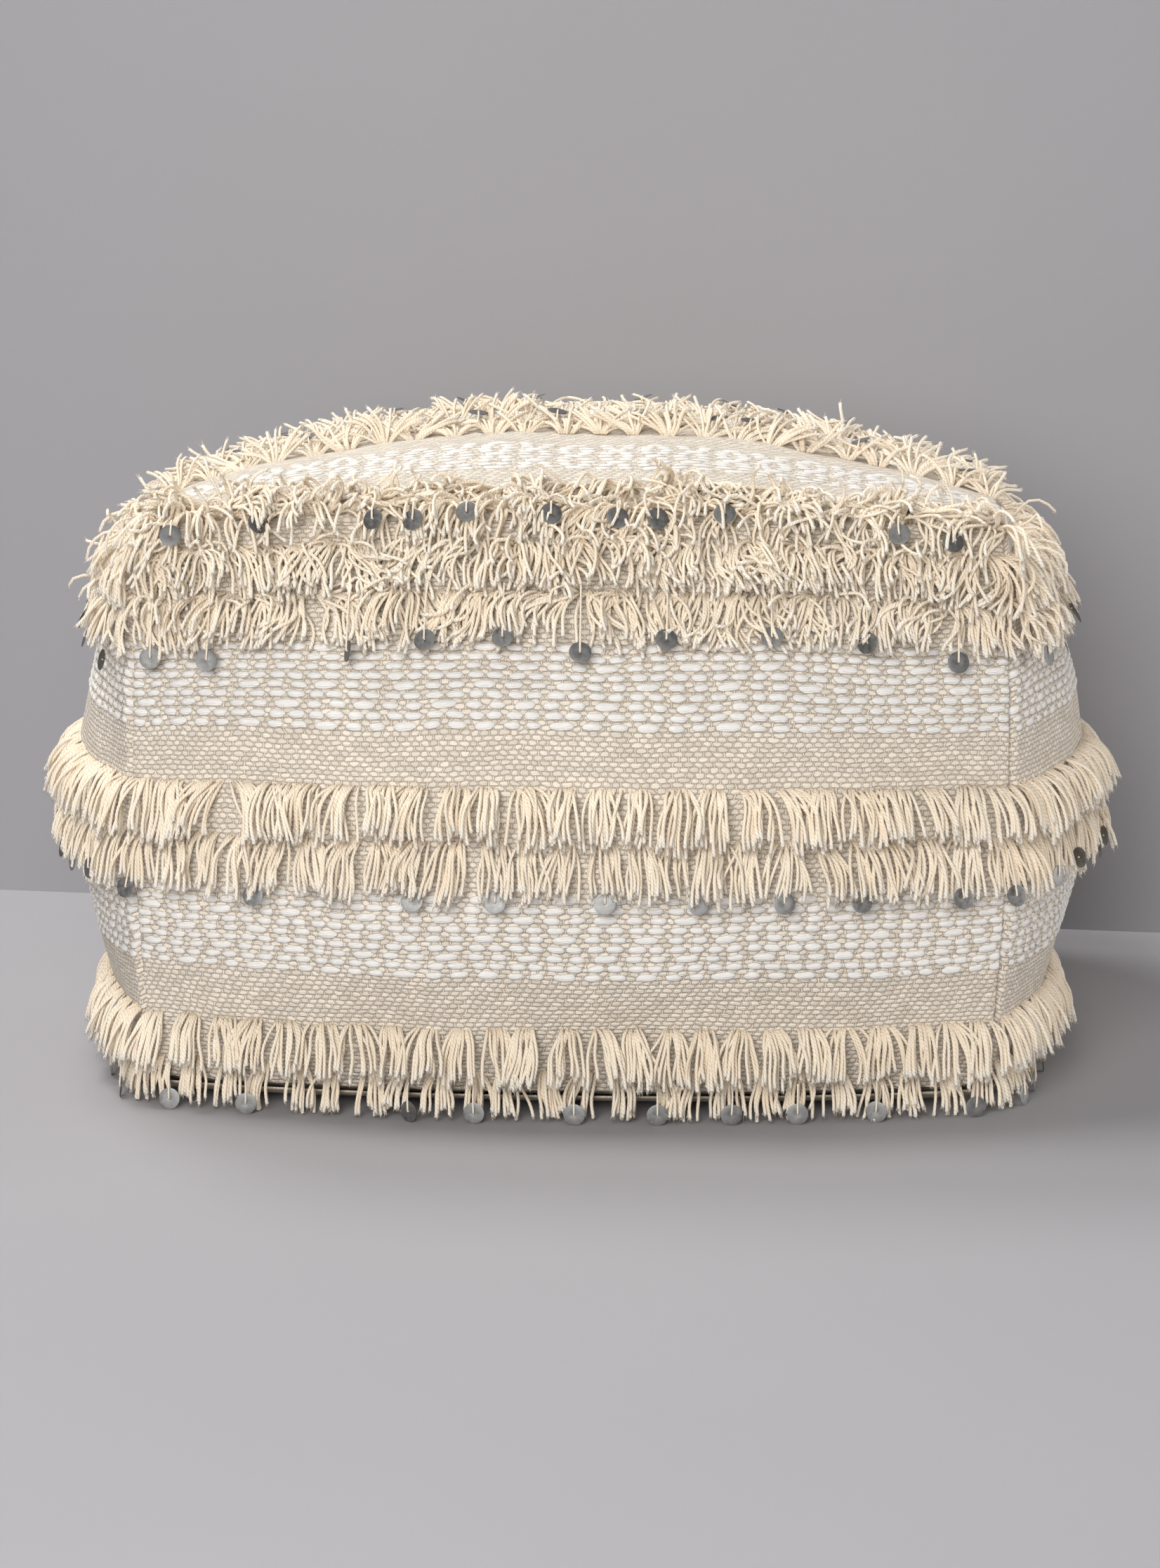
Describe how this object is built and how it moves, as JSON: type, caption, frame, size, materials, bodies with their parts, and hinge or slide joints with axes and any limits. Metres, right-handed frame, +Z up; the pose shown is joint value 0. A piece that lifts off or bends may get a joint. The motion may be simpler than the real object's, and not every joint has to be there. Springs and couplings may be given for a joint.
{
  "type": "floor cushion",
  "caption": "Square stuffed floor cushion in banded cream cotton, with fringe rows, hanging sequins and a canvas base closed by a zip.",
  "frame": {"origin": "on the floor under the middle of the cushion", "axes": "+Z up, +X along the front to the right as seen from the front, -Y out of the front"},
  "size_m": [0.6524, 0.6527, 0.4006],
  "materials": {
    "woven_cotton": "hand-woven natural cotton with raised white floats in bands",
    "fringe_yarn": "loose two-ply twisted cotton yarn",
    "base_canvas": "plain grey-beige canvas",
    "lining": "thin plain lining cloth",
    "filling": "loose fibre filling",
    "sequin_metal": "dull scratched silver disc on a cream thread",
    "zip_tape": "woven tape with a nylon coil",
    "zip_metal": "nickel-coloured metal"
  },
  "bodies": {
    "cushion": {"filling": "filling", "inner_bag_top": "lining", "inner_bag_base": "lining", "top_panel": "woven_cotton", "front_panel": "woven_cotton", "right_panel": "woven_cotton", "back_panel": "woven_cotton", "left_panel": "woven_cotton", "base_panel_front": "base_canvas", "base_panel_rear": "base_canvas", "zip_tape_front": "zip_tape", "zip_tape_rear": "zip_tape", "zip_stop_closed": "zip_metal", "zip_stop_open": "zip_metal", "fringe_front_upper_1": "fringe_yarn", "fringe_front_upper_2": "fringe_yarn", "fringe_front_middle_1": "fringe_yarn", "fringe_front_middle_2": "fringe_yarn", "fringe_front_lower_1": "fringe_yarn", "fringe_front_lower_2": "fringe_yarn", "fringe_right_upper_1": "fringe_yarn", "fringe_right_upper_2": "fringe_yarn", "fringe_right_middle_1": "fringe_yarn", "fringe_right_middle_2": "fringe_yarn", "fringe_right_lower_1": "fringe_yarn", "fringe_right_lower_2": "fringe_yarn", "fringe_back_upper_1": "fringe_yarn", "fringe_back_upper_2": "fringe_yarn", "fringe_back_middle_1": "fringe_yarn", "fringe_back_middle_2": "fringe_yarn", "fringe_back_lower_1": "fringe_yarn", "fringe_back_lower_2": "fringe_yarn", "fringe_left_upper_1": "fringe_yarn", "fringe_left_upper_2": "fringe_yarn", "fringe_left_middle_1": "fringe_yarn", "fringe_left_middle_2": "fringe_yarn", "fringe_left_lower_1": "fringe_yarn", "fringe_left_lower_2": "fringe_yarn", "fringe_top_1": "fringe_yarn", "fringe_top_2": "fringe_yarn", "fringe_top_3": "fringe_yarn", "fringe_top_4": "fringe_yarn", "fringe_top_5": "fringe_yarn", "fringe_top_6": "fringe_yarn", "fringe_top_7": "fringe_yarn", "fringe_top_8": "fringe_yarn"},
    "zip_slider": {"zip_slider": "zip_metal"},
    "zip_pull": {"zip_pull": "zip_metal"},
    "sequin_01": {"sequin_01": "sequin_metal"},
    "sequin_02": {"sequin_02": "sequin_metal"},
    "sequin_03": {"sequin_03": "sequin_metal"},
    "sequin_04": {"sequin_04": "sequin_metal"},
    "sequin_05": {"sequin_05": "sequin_metal"},
    "sequin_06": {"sequin_06": "sequin_metal"},
    "sequin_07": {"sequin_07": "sequin_metal"},
    "sequin_08": {"sequin_08": "sequin_metal"},
    "sequin_09": {"sequin_09": "sequin_metal"},
    "sequin_10": {"sequin_10": "sequin_metal"}
  },
  "joints": [
    {"name": "zip_slide", "type": "slide", "parent": "cushion", "child": "zip_slider", "axis": [1, 0, 0], "range_m": [0, 0.3894]},
    {"name": "zip_pull_turn", "type": "hinge", "parent": "zip_slider", "child": "zip_pull", "pos_m": [-0.1947, 0, 0.0013], "axis": [0, 1, 0], "range_deg": [0, 180]},
    {"name": "sequin_01_swing", "type": "hinge", "parent": "cushion", "child": "sequin_01", "pos_m": [-0.24867, -0.26454, 0.15708], "axis": [-0.8796, 0.47, 0.0736], "range_deg": [0, 45]},
    {"name": "sequin_02_swing", "type": "hinge", "parent": "cushion", "child": "sequin_02", "pos_m": [-0.17325, -0.29675, 0.15923], "axis": [-0.9345, 0.3513, 0.0577], "range_deg": [0, 45]},
    {"name": "sequin_03_swing", "type": "hinge", "parent": "cushion", "child": "sequin_03", "pos_m": [-0.08361, -0.3163, 0.16053], "axis": [-0.9922, 0.1176, 0.0403], "range_deg": [0, 45]},
    {"name": "sequin_04_swing", "type": "hinge", "parent": "cushion", "child": "sequin_04", "pos_m": [-0.03775, -0.32005, 0.16079], "axis": [-0.9993, 0.0297, 0.0218], "range_deg": [0, 45]},
    {"name": "sequin_05_swing", "type": "hinge", "parent": "cushion", "child": "sequin_05", "pos_m": [0.02245, -0.32044, 0.16082], "axis": [-0.9995, -0.028, -0.0117], "range_deg": [0, 45]},
    {"name": "sequin_06_swing", "type": "hinge", "parent": "cushion", "child": "sequin_06", "pos_m": [0.0734, -0.31739, 0.1606], "axis": [-0.9926, -0.1164, -0.0338], "range_deg": [0, 45]},
    {"name": "sequin_07_swing", "type": "hinge", "parent": "cushion", "child": "sequin_07", "pos_m": [0.12027, -0.31056, 0.16015], "axis": [-0.9723, -0.2288, -0.0471], "range_deg": [0, 45]},
    {"name": "sequin_08_swing", "type": "hinge", "parent": "cushion", "child": "sequin_08", "pos_m": [0.16305, -0.30031, 0.15948], "axis": [-0.9354, -0.3499, -0.0516], "range_deg": [0, 45]},
    {"name": "sequin_09_swing", "type": "hinge", "parent": "cushion", "child": "sequin_09", "pos_m": [0.22012, -0.27864, 0.15804], "axis": [-0.8807, -0.47, -0.0586], "range_deg": [0, 45]},
    {"name": "sequin_10_swing", "type": "hinge", "parent": "cushion", "child": "sequin_10", "pos_m": [0.2507, -0.26355, 0.15703], "axis": [-0.8799, -0.4691, -0.0754], "range_deg": [0, 45]}
  ]
}
